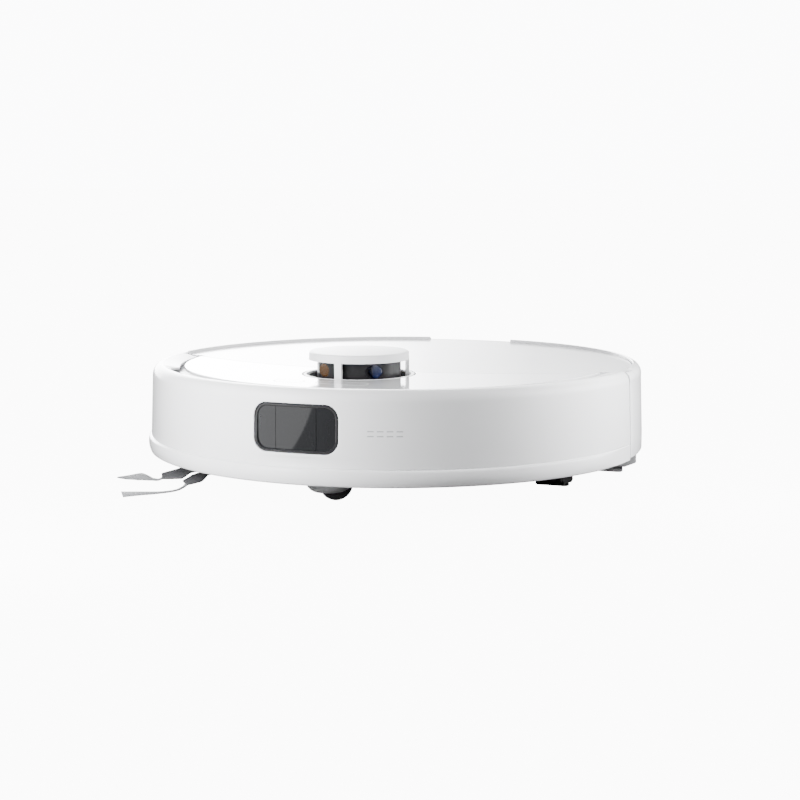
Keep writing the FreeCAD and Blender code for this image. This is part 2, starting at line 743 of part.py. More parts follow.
def build_drive_side():
    """One drive side, built at +X: mount with pin, swinging gearbox, hub and lugged tyre."""
    side = "wheel_x - wheel_width / 2"
    mount = fuse([
        box((94, 34, 23), 2, 8, 28),
        box((116, 33, 23), 2.5, 10, 28),
        rod((94, "arm_pivot_y", "arm_pivot_z"), "axle_radius", 24.5, X_AXIS),
    ])
    case = box((98, -26, 26), 11.8, 60, 30)
    boss = rod((98, "arm_pivot_y", "arm_pivot_z"), 7, 13, X_AXIS)
    axle = rod((109, "wheel_y", "wheel_radius"), "axle_radius", 20, X_AXIS)
    bore = rod((90, "arm_pivot_y", "arm_pivot_z"), "axle_radius + shaft_gap", 30, X_AXIS)
    arm = cut(fuse([case, boss, axle]), [bore])
    hub_place = (side + " + 0.5", "wheel_y", "wheel_radius")
    hub_body = rod(hub_place, "hub_radius", "wheel_width - 1", X_AXIS)
    hub_bore = rod((105, "wheel_y", "wheel_radius"), "axle_radius + shaft_gap", 32, X_AXIS)
    hub_dish = ring(("wheel_x + wheel_width / 2 - 4", "wheel_y", "wheel_radius"), 22, 8, 6, X_AXIS)
    hub = cut(hub_body, [hub_bore, hub_dish])
    tyre_place = (side, "wheel_y", "wheel_radius")
    carcass = ring(tyre_place, "wheel_radius - lug_height", "hub_radius", "wheel_width", X_AXIS)
    lugs = [carcass]
    for step in range(int(size("lug_count"))):
        lug_place = (side, -2.4, "wheel_radius - lug_height - 1")
        lug = group([box(lug_place, "wheel_width", 4.8, "lug_height + 0.9")])
        lug.Placement = FreeCAD.Placement(
            FreeCAD.Vector(0, size("wheel_y"), size("wheel_radius")),
            FreeCAD.Rotation(FreeCAD.Vector(1, 0, 0), 360 * step / size("lug_count")),
        )
        lugs.append(lug)
    tyre = fuse(lugs)
    for label, item in (
        ("suspension_mount", mount),
        ("drive_module", arm),
        ("wheel_hub", hub),
        ("tyre", tyre),
    ):
        node(label + "_left", item)
        node(label + "_right", mirrored(item))


def build_mop():
    """The mop plate that hooks under the rear and its cloth pad."""
    plate_low = "pad_bottom + pad_thickness"
    plate = common([
        fuse([
            rod((0, 0, 9.5), "mop_radius", "mop_plate_thickness - 3.5"),
            cone((0, 0, plate_low), "mop_radius - 8", "mop_radius", 3.5),
        ]),
        box((-200, "mop_front", 0), 400, 200, 40),
    ])
    hooks = [box((x, 60, 18), 20, 40, 2) for x in (-80, 60)]
    node("mop_bracket", fuse([plate] + hooks))
    pad = common([
        rod((0, 0, "pad_bottom"), "mop_radius - 9", "pad_thickness"),
        box((-200, "mop_front + 2.5", 0), 400, 200, 40),
    ])
    node("mop_pad", pad)


build_bumper()
build_window()
build_rear_shell()
build_chassis()
build_top_frame()
build_covers()
build_turret()
build_buttons()
build_electronics()
build_roller()
build_fan()
build_dust_bin()
build_side_brush()
build_caster()
build_drive_side()
build_mop()
doc.recompute()

for item in doc.Objects:
    if "Invalid" in item.State or "Error" in item.State:
        raise RuntimeError("%s (%s) did not build" % (item.Name, item.Label))

for label, item in NODES:
    shape = item.Shape
    if shape.isNull() or not shape.isValid():
        raise RuntimeError("%s is not a sound shape" % label)
    shape.exportStep("parts/%s.step" % label)
    bounds = shape.BoundBox
    low = "%.1f %.1f %.1f" % (bounds.XMin, bounds.YMin, bounds.ZMin)
    high = "%.1f %.1f %.1f" % (bounds.XMax, bounds.YMax, bounds.ZMax)
    print("%s: %d solids, %.0f mm3, %s to %s" % (label, len(shape.Solids), shape.Volume, low, high))
print("%d nodes" % len(NODES))
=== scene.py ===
import math

import bmesh
import bpy
import numpy as np
from mathutils import Matrix, Vector


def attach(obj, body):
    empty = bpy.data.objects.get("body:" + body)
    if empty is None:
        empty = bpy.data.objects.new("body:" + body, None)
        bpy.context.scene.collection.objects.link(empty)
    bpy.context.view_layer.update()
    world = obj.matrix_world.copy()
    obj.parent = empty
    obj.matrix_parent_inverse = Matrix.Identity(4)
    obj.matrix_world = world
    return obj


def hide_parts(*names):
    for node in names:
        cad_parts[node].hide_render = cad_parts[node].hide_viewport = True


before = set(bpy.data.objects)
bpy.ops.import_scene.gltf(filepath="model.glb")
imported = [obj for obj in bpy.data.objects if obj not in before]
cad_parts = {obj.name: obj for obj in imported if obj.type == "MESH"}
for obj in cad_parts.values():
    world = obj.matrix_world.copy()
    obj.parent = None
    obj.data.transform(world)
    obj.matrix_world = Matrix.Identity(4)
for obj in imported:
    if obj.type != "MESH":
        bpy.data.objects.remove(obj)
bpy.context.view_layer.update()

# ---------------------------------------------------------------- bumper_shell
# The front bumper: one glossy white moulding, 170 degrees round, that rolls inward at the top
# and flares into a lip at the bottom. It floats on springs in front of the chassis wall.


def finish(name, dark, light, rough, bump=0.02, grain=900.0, coat=0.0, metallic=0.0, spread=0.04, patch=14.0):
    """A procedural finish: colour, roughness and a fine bump all wander with noise in object space."""
    material = bpy.data.materials.new(name)
    material.use_nodes = True
    nodes = material.node_tree.nodes
    links = material.node_tree.links
    shader = nodes["Principled BSDF"]
    shader.inputs["Metallic"].default_value = metallic
    shader.inputs["Coat Weight"].default_value = coat
    shader.inputs["Coat Roughness"].default_value = 0.06
    place = nodes.new("ShaderNodeTexCoord")
    broad = nodes.new("ShaderNodeTexNoise")
    broad.inputs["Scale"].default_value = patch
    broad.inputs["Detail"].default_value = 3.0
    links.new(place.outputs["Object"], broad.inputs["Vector"])
    ramp = nodes.new("ShaderNodeValToRGB")
    ramp.color_ramp.elements[0].position = 0.3
    ramp.color_ramp.elements[1].position = 0.7
    ramp.color_ramp.elements[0].color = (*dark, 1.0)
    ramp.color_ramp.elements[1].color = (*light, 1.0)
    links.new(broad.outputs["Fac"], ramp.inputs["Fac"])
    links.new(ramp.outputs["Color"], shader.inputs["Base Color"])
    wear = nodes.new("ShaderNodeMapRange")
    wear.inputs["To Min"].default_value = rough - spread
    wear.inputs["To Max"].default_value = rough + spread
    links.new(broad.outputs["Fac"], wear.inputs["Value"])
    links.new(wear.outputs["Result"], shader.inputs["Roughness"])
    fine = nodes.new("ShaderNodeTexNoise")
    fine.inputs["Scale"].default_value = grain
    fine.inputs["Detail"].default_value = 4.0
    links.new(place.outputs["Object"], fine.inputs["Vector"])
    relief = nodes.new("ShaderNodeBump")
    relief.inputs["Strength"].default_value = bump
    relief.inputs["Distance"].default_value = 0.0004
    links.new(fine.outputs["Fac"], relief.inputs["Height"])
    links.new(relief.outputs["Normal"], shader.inputs["Normal"])
    return material


def solid(name, points, faces, material, sharp=38.0):
    """A closed mesh from points in millimetres: touching points are joined, faces are turned outward."""
    mesh = bpy.data.meshes.new(name)
    mesh.from_pydata((np.asarray(points) * 0.001).tolist(), [], [list(map(int, face)) for face in faces])
    work = bmesh.new()
    work.from_mesh(mesh)
    bmesh.ops.remove_doubles(work, verts=work.verts, dist=2e-6)
    bmesh.ops.recalc_face_normals(work, faces=work.faces)
    work.to_mesh(mesh)
    work.free()
    mesh.shade_smooth()
    mesh.set_sharp_from_angle(angle=math.radians(sharp))
    mesh.materials.append(material)
    thing = bpy.data.objects.new(name, mesh)
    bpy.context.scene.collection.objects.link(thing)
    return thing


def rounded_path(corners, steps=5):
    """The open path through corners (x, y, radius), each corner swapped for an arc of its radius."""
    path = [np.array(corners[0][:2], float)]
    for before, here, after in zip(corners, corners[1:], corners[2:]):
        spot = np.array(here[:2], float)
        back = np.array(before[:2], float) - spot
        ahead = np.array(after[:2], float) - spot
        reach = 0.48 * min(np.linalg.norm(back), np.linalg.norm(ahead))
        back = back / np.linalg.norm(back)
        ahead = ahead / np.linalg.norm(ahead)
        half = 0.5 * math.acos(float(np.clip(back @ ahead, -1, 1)))
        if half > 1.565 or here[2] <= 0:
            path += [spot] * (steps + 1)
            continue
        cut = min(here[2] / math.tan(half), reach)
        radius = cut * math.tan(half)
        middle = spot + (back + ahead) / np.linalg.norm(back + ahead) * radius / math.sin(half)
        first = spot + back * cut - middle
        last = spot + ahead * cut - middle
        a = math.atan2(first[1], first[0])
        b = math.atan2(last[1], last[0])
        b = a + (b - a + math.pi) % (2 * math.pi) - math.pi
        for turn in np.linspace(a, b, steps + 1):
            path.append(middle + radius * np.array([math.cos(turn), math.sin(turn)]))
    path.append(np.array(corners[-1][:2], float))
    return np.array(path)


def ease(value, low, high):
    """Rises smoothly from 0 at low to 1 at high: t squared times (3 - 2 t)."""
    t = np.clip((value - low) / (high - low), 0, 1)
    return t * t * (3 - 2 * t)


white = finish("white_gloss", (0.80, 0.805, 0.82), (0.83, 0.835, 0.85), 0.24, 0.01, 700.0, coat=0.35)


def quarter(middle, half_wide, half_tall, start, end, steps):
    """Part of an ellipse round middle, from angle start to end in degrees, as points (radius, height)."""
    turns = np.radians(np.linspace(start, end, steps))
    return np.stack([middle[0] + half_wide * np.cos(turns), middle[1] + half_tall * np.sin(turns)], -1)


def wall_radius(z):
    """Radius of the bumper's outer wall, which leans in evenly from 173.15 at height 36 to 171.75 at 72."""
    return 173.15 - 1.4 * (z - 36.0) / 36.0


def bumper_dip(u, z):
    """Depth of the shallow scoop under the window: a bell shape along the wall and in height."""
    return 1.7 * np.exp(-((u - 2.5) / 24.0) ** 2) * np.exp(-((z - 34.5) / 2.6) ** 2)


def bumper_outline(turn):
    """The bumper's section at one angle from the front, in (radius, height), as one closed loop."""
    flare = 1 - ease(abs(turn), 69, 80)
    shelf = 160.0 - 7.3 * ease(abs(turn), 55, 60.5)
    shelf_top = 77.7 - 0.5 * ease(abs(turn), 55, 62)
    heights = np.linspace(20.3, 30.3, 11)
    swell = 2.0 - (heights - 26.2) ** 2 / 26.0
    lip = np.stack([173.3 + flare * swell, heights], -1)
    groove = rounded_path([
        (173.3 + 0.8 * flare, 30.6, 0), (173.05, 30.8, 0.15), (173.05, 31.1, 0.15), (173.3, 31.5, 0.4),
        (173.15, 36.0, 0),
    ])
    rows = np.linspace(36.0, 71.9, 34)
    outer = np.stack([wall_radius(rows), rows], -1)
    brow = quarter((165.2, 72.0), 6.55, 8.0, 0, 86, 12)
    top = rounded_path([
        (165.4, 80.0, 0), (164.4, 79.9, 0.8), (shelf, shelf_top, 0.7),
        (shelf, shelf_top - 1.5, 0.3), (165.4, 77.6, 1.0), (169.4, 74.0, 2.0), (170.7, 71.9, 0),
    ], 7)
    inner = np.stack([np.full(34, 170.7), rows[::-1]], -1)
    sole = [(170.7, 22.0), (170.7, 20.0), (lip[0][0] - 0.5, 20.0)]
    return np.concatenate([sole, lip, groove, outer[1:], brow, top, inner[1:]])


window_centre = np.array([-2.0, 55.0])
window_half = np.array([29.0, 15.5])
window_corner = 9.0
turn_radius = 173.0


def reach_window(away, grow):
    """Shortens each vector from the window's centre so that it ends on the rounded outline, grown by grow."""
    half = window_half + grow
    corner = window_corner + grow
    near_end, far_end = np.zeros(len(away)), np.ones(len(away))
    for _ in range(40):
        mid = (near_end + far_end) / 2
        q = np.abs(away * mid[:, None]) - half + corner
        gap = np.linalg.norm(np.maximum(q, 0), axis=1) + np.minimum(q.max(1), 0) - corner
        far_end = np.where(gap > 0, mid, far_end)
        near_end = np.where(gap > 0, near_end, mid)
    return away * near_end[:, None]


def bumper_mesh():
    """Sections set side by side round the front, with the window's rounded opening let into the wall."""
    before_window = 78
    across_window = 63
    half_angle = 85.2
    near = np.degrees(np.linspace(-34.5, 30.5, 66) / turn_radius)
    before = np.linspace(-half_angle, near[0], before_window)[:-1]
    turns = np.concatenate([before, near, np.linspace(near[-1], half_angle, 80)[1:]])
    sections = np.array([bumper_outline(turn) for turn in turns])
    count = sections.shape[1]
    wall_middle = 171.2
    wall_inside = 170.7
    rad = np.radians(turns)[:, None]
    r, z = sections[..., 0].copy(), sections[..., 1]
    r -= np.where(r > wall_middle, bumper_dip(turn_radius * rad, z), 0)
    points = np.stack([r * np.sin(rad), -r * np.cos(rad), z], -1).reshape(-1, 3).tolist()
    rise = np.array([row[1] for row in sections[0]])
    outside = sections[0][:, 0] > wall_middle
    late = np.arange(count) > 60
    out_low = int(np.argmin(np.abs(rise - 37.2) + 99 * ~outside))
    out_high = int(np.argmin(np.abs(rise - 71.9) + 99 * ~outside))
    in_high = int(np.argmin(np.abs(rise - 71.9) + 99 * (outside | ~late)))
    in_low = int(np.argmin(np.abs(rise - 37.2) + 99 * (outside | ~late)))
    left = before_window
    right = before_window + across_window
    faces = []
    for i in range(len(turns) - 1):
        for j in range(count):
            hole = left <= i < right and (out_low <= j < out_high or in_high <= j < in_low)
            if not hole:
                k = (j + 1) % count
                faces.append([i * count + j, (i + 1) * count + j, (i + 1) * count + k, i * count + k])
    faces.append([j for j in range(count)])
    faces.append([(len(turns) - 1) * count + j for j in range(count)])

    def frame_of(row_low, row_high):
        step = 1 if row_high > row_low else -1
        ring = [(i, row_low) for i in range(left, right)]
        ring += [(right, j) for j in range(row_low, row_high, step)]
        ring += [(i, row_high) for i in range(right, left, -1)]
        ring += [(left, j) for j in range(row_high, row_low, -step)]
        return ring

    outer_ring = frame_of(out_low, out_high)
    inner_ring = frame_of(in_low, in_high)
    spots = np.array([(math.radians(turns[i]) * turn_radius, rise[j]) for i, j in outer_ring])
    loops = [[i * count + j for i, j in outer_ring]]
    for grow, depth in ((0.9, 0.0), (0.45, 0.03), (0.2, 0.12), (0.05, 0.3), (0.0, 0.6), (0.0, 1.6)):
        spot = window_centre + reach_window(spots - window_centre, grow)
        base = len(points)
        for u, height in spot:
            turn = u / turn_radius
            wall = wall_radius(height) - float(bumper_dip(u, height)) - depth
            if depth > 1:
                wall = wall_inside
            points.append([wall * math.sin(turn), -wall * math.cos(turn), height])
        loops.append(list(range(base, base + len(spot))))
    loops.append([i * count + j for i, j in inner_ring])
    for one, two in zip(loops, loops[1:]):
        for k in range(len(one)):
            n = (k + 1) % len(one)
            faces.append([one[k], one[n], two[n], two[k]])
    return points, faces


points, faces = bumper_mesh()
bumper = solid("bumper_shell_skin", points, faces, white, 50)
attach(bumper, "bumper")
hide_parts("bumper_shell")

# ---------------------------------------------------------------- window_bezel and window_panes
# The sensor window: a black gloss frame set in the bumper and three smoked panes bent to the
# bumper's curve, glued into the frame in front of the camera and the two line lasers.


def window_outline(grow, count=160):
    """Points of the window's rounded outline, grown by grow, as (distance round the wall, height)."""
    turn = np.linspace(0, 2 * math.pi, count, endpoint=False)
    return window_centre + reach_window(np.stack([np.cos(turn) * 60, np.sin(turn) * 60], -1), grow)


def on_wall(u, z, depth):
    """The point that lies depth behind the bumper's outer wall, u along it and z up."""
    wall = wall_radius(z) - depth
    turn = u / turn_radius
    return np.stack([wall * np.sin(turn), -wall * np.cos(turn), z], -1)


black_gloss = finish("black_gloss", (0.012, 0.012, 0.013), (0.02, 0.02, 0.021), 0.16, 0.01, 600.0, coat=0.4)
rings = [
    (-0.2, 5.5), (-0.2, 0.95), (-0.35, 0.75), (-0.6, 0.7),
    (-1.9, 0.72), (-2.15, 0.85), (-2.2, 1.1), (-2.2, 5.5),
]
points = []
faces = []
for k, (grow, depth) in enumerate(rings):
    edge = window_outline(grow)
    points += on_wall(edge[:, 0], edge[:, 1], depth).tolist()
    for i in range(160):
        a, b = k * 160 + i, k * 160 + (i + 1) % 160
        c, d = ((k + 1) % len(rings)) * 160 + (i + 1) % 160, ((k + 1) % len(rings)) * 160 + i
        faces.append([a, b, c, d])
bezel = solid("window_frame", points, faces, black_gloss, 60)
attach(bezel, "bumper")
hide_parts("window_bezel")

glass = finish(
    "smoked_glass", (0.011, 0.0115, 0.0125), (0.014, 0.0145, 0.0155), 0.035, 0.0, 500.0, spread=0.01,
)


def on_pane(u, z, depth):
    """A point on a pane, which stands a little more upright than the wall and crosses it at height 55."""
    return on_wall(u, z, depth - 0.019 * (z - 55.0))


def pane(name, start, end):
    """A bent pane between two distances round the wall; its top and bottom follow the rounded outline."""
    us = np.linspace(start, end, 30)
    side = np.maximum(np.abs(us + 2.0) - (29.0 - 2.3 - 6.7), 0)
    tall = 13.2 - 6.7 + np.sqrt(np.maximum(6.7 ** 2 - side ** 2, 0.01))
    spots = []
    shapes = []
    loops = []
    for depth in (1.45, 3.0):
        loops.append(len(spots))
        spots += on_pane(us, 55.0 + tall, depth).tolist() + on_pane(us, 55.0 - tall, depth).tolist()
    front, back = loops
    for i in range(29):
        shapes.append([front + i, front + i + 1, front + 30 + i + 1, front + 30 + i])
        shapes.append([back + i, back + i + 1, back + 30 + i + 1, back + 30 + i])
        for row in (0, 30):
            shapes.append([front + row + i, front + row + i + 1, back + row + i + 1, back + row + i])
    for i in (0, 29):
        shapes.append([front + i, front + 30 + i, back + 30 + i, back + i])
    return solid(name, spots, shapes, glass, 30)


for name, start, end in (("window_pane_left", -28.6, -15.75), ("window_pane_middle", -15.45, 12.1),
                         ("window_pane_right", 12.4, 24.6)):
    piece = pane(name, start, end)
    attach(piece, "bumper")
    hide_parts("window_panes")

# ---------------------------------------------------------------- printed_strokes
# A small generic print beside the window, pad printed in grey: two rows of equal plain dashes.
grey_ink = finish("grey_ink", (0.36, 0.365, 0.38), (0.41, 0.415, 0.43), 0.4, 0.0)
dash_length = 4.0
dash_pitch = 6.0
starts = [45.0 + dash_pitch * step for step in range(4)]
bars = [(start, start + dash_length, low, low + 0.7) for low in (51.5, 54.5) for start in starts]


def print_bars(name, marks, ink):
    """Flat bars that lie on the wall's curve, each a thin closed slab."""
    spots = []
    shapes = []
    for start, end, low, high in marks:
        us = np.linspace(start, end, 6)
        base = len(spots)
        for z, depth in ((low, -0.03), (high, -0.03), (high, 0.1), (low, 0.1)):
            spots += on_wall(us, np.full(6, z), depth).tolist()
        for i in range(5):
            for row in range(4):
                n = (row + 1) % 4
                here = base + 6 * row + i
                there = base + 6 * n + i
                shapes.append([here, here + 1, there + 1, there])
        for i in (0, 5):
            shapes.append([base + i, base + 6 + i, base + 12 + i, base + 18 + i])
    piece = solid(name, spots, shapes, ink, 30)
    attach(piece, "bumper")
    return piece


print_bars("printed_strokes", bars, grey_ink)

# ---------------------------------------------------------------- CAD pieces kept as they are
# Every other hard piece shows its CAD mesh. It takes a procedural finish, its doubled points are
# joined and its edges are broken by a small bevel, as a moulding's or a machined part's are.
satin = finish("white_satin", (0.76, 0.765, 0.78), (0.80, 0.805, 0.82), 0.34, 0.02, 800.0, coat=0.1)
cover_white = finish(
    "cover_gloss", (0.80, 0.805, 0.82), (0.83, 0.835, 0.85), 0.075, 0.004, 500.0, coat=0.6, spread=0.015,
)
lid_white = finish(
    "lid_gloss", (0.79, 0.795, 0.81), (0.82, 0.825, 0.84), 0.17, 0.006, 600.0, coat=0.4, spread=0.02,
)
black_matte = finish("black_matte", (0.022, 0.022, 0.024), (0.034, 0.034, 0.037), 0.5, 0.12, 1400.0)
grey_part = finish("grey_plastic", (0.34, 0.345, 0.355), (0.40, 0.405, 0.415), 0.42, 0.08, 1200.0)
pale_grey = finish("pale_grey_plastic", (0.52, 0.525, 0.535), (0.60, 0.605, 0.615), 0.42, 0.06, 1200.0)
rotor_black = finish("rotor_black", (0.010, 0.010, 0.011), (0.014, 0.014, 0.015), 0.34, 0.0, 600.0)
dark_grey = finish("dark_grey_plastic", (0.075, 0.076, 0.08), (0.10, 0.101, 0.105), 0.45, 0.1, 1200.0)
smoke = finish("clear_smoke", (0.16, 0.165, 0.18), (0.2, 0.205, 0.22), 0.12, 0.01, 300.0, coat=0.5)
steel = finish("steel", (0.52, 0.52, 0.53), (0.62, 0.62, 0.63), 0.28, 0.05, 1500.0, metallic=1.0)
green = finish("board_green", (0.015, 0.10, 0.045), (0.025, 0.14, 0.06), 0.35, 0.1, 500.0)
wrap = finish("cell_wrap", (0.03, 0.07, 0.20), (0.045, 0.10, 0.27), 0.3, 0.05, 300.0)
soft = finish("soft_rubber", (0.02, 0.02, 0.021), (0.035, 0.035, 0.036), 0.6, 0.2, 900.0)
tread = finish("tread_rubber", (0.016, 0.016, 0.017), (0.028, 0.028, 0.03), 0.66, 0.3, 1300.0)
paper = finish("filter_paper", (0.72, 0.72, 0.68), (0.8, 0.8, 0.76), 0.85, 0.3, 700.0)
amber = finish("amber_glass", (0.03, 0.012, 0.002), (0.10, 0.045, 0.006), 0.2, 0.0, 300.0, coat=0.8)
blue = finish("blue_glass", (0.002, 0.004, 0.015), (0.004, 0.01, 0.045), 0.2, 0.0, 300.0, coat=0.8)
lens_black = finish("cliff_glass", (0.01, 0.01, 0.011), (0.02, 0.02, 0.021), 0.06, 0.0, 300.0)

looks = {
    "rear_shell": (white, 0.5), "front_top_cover": (cover_white, 0.35), "rear_lid": (lid_white, 0.35),
    "turret_bezel_ring": (satin, 0.3), "turret_cover": (satin, 0.7), "turret_cap_disc": (satin, 0.15),
    "top_frame": (satin, 0.2), "power_button": (cover_white, 0.3), "home_button": (cover_white, 0.3),
    "exhaust_grille": (satin, 0.2), "base_chassis": (black_matte, 0.3), "lidar_base": (black_matte, 0.3),
    "lidar_rotor": (rotor_black, 0.3), "lidar_emitter_lens": (amber, 0.3), "lidar_receiver_lens": (blue, 0.3),
    "battery_pack": (wrap, 0.6), "battery_cover": (black_matte, 0.3), "main_circuit_board": (green, 0.2),
    "button_board": (green, 0.2), "roller_housing": (black_matte, 0.4), "roller_guard": (dark_grey, 0.4),
    "roller_gearmotor": (black_matte, 0.5), "suction_duct": (black_matte, 0.3),
    "fan_housing": (black_matte, 0.5), "fan_impeller": (dark_grey, 0.15),
    "side_brush_motor": (black_matte, 0.5), "caster_housing": (pale_grey, 0.5),
    "caster_fork": (pale_grey, 0.4), "caster_axle": (steel, 0.2), "caster_wheel": (black_matte, 0.8),
    "suspension_mount_left": (steel, 0.2), "suspension_mount_right": (steel, 0.2),
    "drive_module_left": (black_matte, 0.6), "drive_module_right": (black_matte, 0.6),
    "wheel_hub_left": (dark_grey, 0.4), "wheel_hub_right": (dark_grey, 0.4),
    "tyre_left": (tread, 0.4), "tyre_right": (tread, 0.4), "charging_contacts": (steel, 0.2),
    "cliff_sensor_windows": (lens_black, 0.2), "chassis_screws": (steel, 0.2),
    "camera_module": (black_matte, 0.3),
    "line_laser_modules": (black_matte, 0.3), "lid_magnets": (steel, 0.2), "dustbin_tub": (smoke, 0.4),
    "dustbin_lid": (black_matte, 0.3), "dustbin_filter": (paper, 0.2), "water_tank": (smoke, 0.6),
    "roller_core": (black_matte, 0.4), "roller_fins": (soft, 0.2), "side_brush_hub": (grey_part, 0.5),
    "mop_bracket": (grey_part, 0.8),
}
for name, (material, width) in looks.items():
    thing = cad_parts[name]
    for place in thing.material_slots:
        place.material = material
    weld = thing.modifiers.new("joined", "WELD")
    weld.merge_threshold = 0.00001
    edge = thing.modifiers.new("broken_edges", "BEVEL")
    edge.width = width * 0.001
    edge.segments = 3
    edge.limit_method = "ANGLE"
    edge.angle_limit = math.radians(32)
    edge.harden_normals = True

# ---------------------------------------------------------------- side_brush arms and bristles
# The corner brush: two soft dark sleeves on a grey hub, each gripping a tuft of grey bristles
# that necks in where it leaves the sleeve and fans out to its tip.
sleeve_rubber = finish("sleeve_rubber", (0.05, 0.051, 0.054), (0.075, 0.076, 0.08), 0.45, 0.1, 900.0)
bristle_grey = finish("bristle_grey", (0.14, 0.143, 0.15), (0.23, 0.233, 0.24), 0.5, 0.4, 2200.0)


def ribbon(name, path, widths, thick, leans, material):
    """A flat strap along path with rounded edges. widths, thick and leans (degrees) go with its points."""
    path = np.array(path, float)
    steps = 10
    ts = np.linspace(0, len(path) - 1, (len(path) - 1) * steps + 1)
    base = np.clip(ts.astype(int), 0, len(path) - 2)
    f = (ts - base)[:, None]
    before = path[np.clip(base - 1, 0, None)]
    after = path[np.clip(base + 2, None, len(path) - 1)]
    a, b = path[base], path[base + 1]
    line = 0.5 * ((2 * a) + (b - before) * f + (2 * before - 5 * a + 4 * b - after) * f ** 2
                  + (3 * a - before - 3 * b + after) * f ** 3)
    wide = np.interp(ts, np.arange(len(widths)), widths)
    deep = np.interp(ts, np.arange(len(thick)), thick)
    along = np.gradient(line, axis=0)
    along /= np.linalg.norm(along, axis=1)[:, None]
    side = np.cross(along, [0, 0, 1.0])
    side /= np.linalg.norm(side, axis=1)[:, None]
    up = np.cross(side, along)
    lean = np.radians(np.interp(ts, np.arange(len(leans)), leans))[:, None]
    side, up = side * np.cos(lean) - up * np.sin(lean), up * np.cos(lean) + side * np.sin(lean)
    ring = [(math.cos(t), math.sin(t)) for t in np.linspace(0, 2 * math.pi, 12, endpoint=False)]
    spots = []
    for x, y in ring:
        shape_x = math.copysign(abs(x) ** 0.5, x)
        shape_y = math.copysign(abs(y) ** 0.7, y)
        spots.append(line + side * (wide * 0.5 * shape_x)[:, None] + up * (deep * 0.5 * shape_y)[:, None])
    spots = np.array(spots)
    n = len(line)
    faces = []
    for k in range(12):
        m = (k + 1) % 12
        for i in range(n - 1):
            faces.append([k * n + i, k * n + i + 1, m * n + i + 1, m * n + i])
    faces.append([k * n for k in range(12)])
    faces.append([k * n + n - 1 for k in range(12)])
    return solid(name, spots.reshape(-1, 3), faces, material, 50)


arms = ribbon("side_brush_sleeve_a",
              [(-88, -90, 10.6), (-103, -95, 10.6), (-113, -98, 9.6), (-120, -101, 7.4), (-131.5, -107, 5.7)],
              [13, 9, 6, 11, 5.5], [2.4, 2.6, 2.6, 2.4, 2.0], [0, 0, -15, -32, -30], sleeve_rubber)
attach(arms, "side_brush")
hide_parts("side_brush_arms")
arms = ribbon("side_brush_sleeve_b",
              [(-88, -90, 10.6), (-93, -102, 10.6), (-97, -110, 10.2), (-99.5, -117, 8.0),
               (-104, -124.5, 6.0)],
              [13, 9, 8, 11, 6.5], [2.4, 2.6, 2.6, 2.4, 2.0], [0, 0, 0, -15, -15], sleeve_rubber)
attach(arms, "side_brush")
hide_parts("side_brush_arms")
tuft = ribbon("side_brush_tuft_a",
              [(-129.5, -106.5, 5.6), (-133.5, -107.2, 3.3), (-138.5, -107.5, 3.2), (-148, -107.6, 4.4),
               (-158, -108.2, 3.4), (-165.5, -108.8, 3.0)],
              [3, 1.8, 2.6, 8.2, 4.5, 0.7], [1.2, 1.1, 1.0, 0.9, 0.7, 0.4], [-30] * 6, bristle_grey)
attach(tuft, "side_brush")
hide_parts("side_brush_bristles")
tuft = ribbon("side_brush_tuft_b",
              [(-102.8, -123.5, 5.8), (-104.0, -127.5, 3.6), (-106.5, -134, 2.3), (-114, -140.5, 1.6),
               (-124.5, -149, 1.8), (-133.6, -156.8, 2.0)],
              [3, 1.8, 1.8, 2.5, 5, 8], [1.2, 1.1, 1.0, 0.9, 0.8, 0.6], [-20] * 6, bristle_grey)
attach(tuft, "side_brush")
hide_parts("side_brush_bristles")

# ---------------------------------------------------------------- mop_pad
# A D-shaped cloth pad of looped microfibre, held flat on the mop plate's underside.
cloth = finish("mop_cloth", (0.30, 0.305, 0.315), (0.40, 0.405, 0.42), 0.9, 0.9, 1800.0)
outline = []
for turn in np.radians(np.linspace(-75.5, 75.5, 121)):
    outline.append((160.2 * math.sin(turn), 160.2 * math.cos(turn)))
outline += [(x, 40.1) for x in np.linspace(outline[-1][0] - 3, outline[0][0] + 3, 60)]
outline = np.array(outline)
centre = np.array([0.0, 100.0])
points = []
faces = []
levels = [(0.992, 5.95), (1.0, 5.0), (1.0, 2.4), (0.99, 1.5), (0.97, 1.1), (0.94, 1.02)]
for scale, height in levels:
    ring = centre + (outline - centre) * scale
    points += np.column_stack([ring, np.full(len(ring), height)]).tolist()
n = len(outline)
for k in range(len(levels) - 1):
    for i in range(n):
        m = (i + 1) % n
        faces.append([k * n + i, k * n + m, (k + 1) * n + m, (k + 1) * n + i])
faces.append(list(range(n)))
faces.append(list(range((len(levels) - 1) * n, len(levels) * n)))
pad = solid("mop_cloth_pad", points, faces, cloth, 50)
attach(pad, "mop")
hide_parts("mop_pad")

# ---------------------------------------------------------------- stage, light and camera
# A plain pale floor that runs into a bright backdrop behind. Two small boxes near the front left
# and the right light the wall, and two large ones behind light the top. A tiny one lights the
# caster's fork, and a card on the floor is there only to show in the window.
floor_paint = bpy.data.materials.new("floor_paint")
floor_paint.use_nodes = True
nodes = floor_paint.node_tree.nodes
links = floor_paint.node_tree.links
paint = nodes["Principled BSDF"]
paint.inputs["Roughness"].default_value = 0.9
paint.inputs["Specular IOR Level"].default_value = 0.0
place = nodes.new("ShaderNodeTexCoord")
clouds = nodes.new("ShaderNodeTexNoise")
clouds.inputs["Scale"].default_value = 0.7
links.new(place.outputs["Object"], clouds.inputs["Vector"])
tones = nodes.new("ShaderNodeValToRGB")
tones.color_ramp.elements[0].color = (0.11, 0.11, 0.112, 1.0)
tones.color_ramp.elements[1].color = (0.125, 0.125, 0.127, 1.0)
links.new(clouds.outputs["Fac"], tones.inputs["Fac"])
